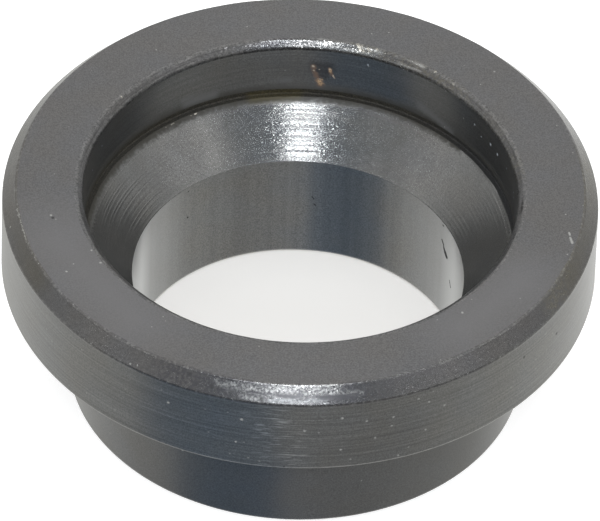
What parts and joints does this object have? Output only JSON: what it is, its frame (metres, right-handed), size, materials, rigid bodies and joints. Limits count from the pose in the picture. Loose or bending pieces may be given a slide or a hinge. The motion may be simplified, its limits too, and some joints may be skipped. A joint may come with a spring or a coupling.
{
  "type": "receiver bushing",
  "caption": "Flanged steel bushing pressed into a fixture plate, whose bore locates a clamp's shank and whose conical seat holds the clamp's locking balls.",
  "frame": {"origin": "centre of the pilot's end face, on the bore's axis, the face that the bushing stands on in the picture", "axes": "+Z along the bore's axis from the pilot's end towards the flange face; X and Y are alike, because the ring is round"},
  "size_m": [0.0286, 0.0286, 0.0115],
  "materials": {
    "hardened_steel": "dark hardened tool steel, turned, with ground bore and pilot"
  },
  "bodies": {
    "root": {"receiver_bushing": "hardened_steel"}
  },
  "joints": []
}
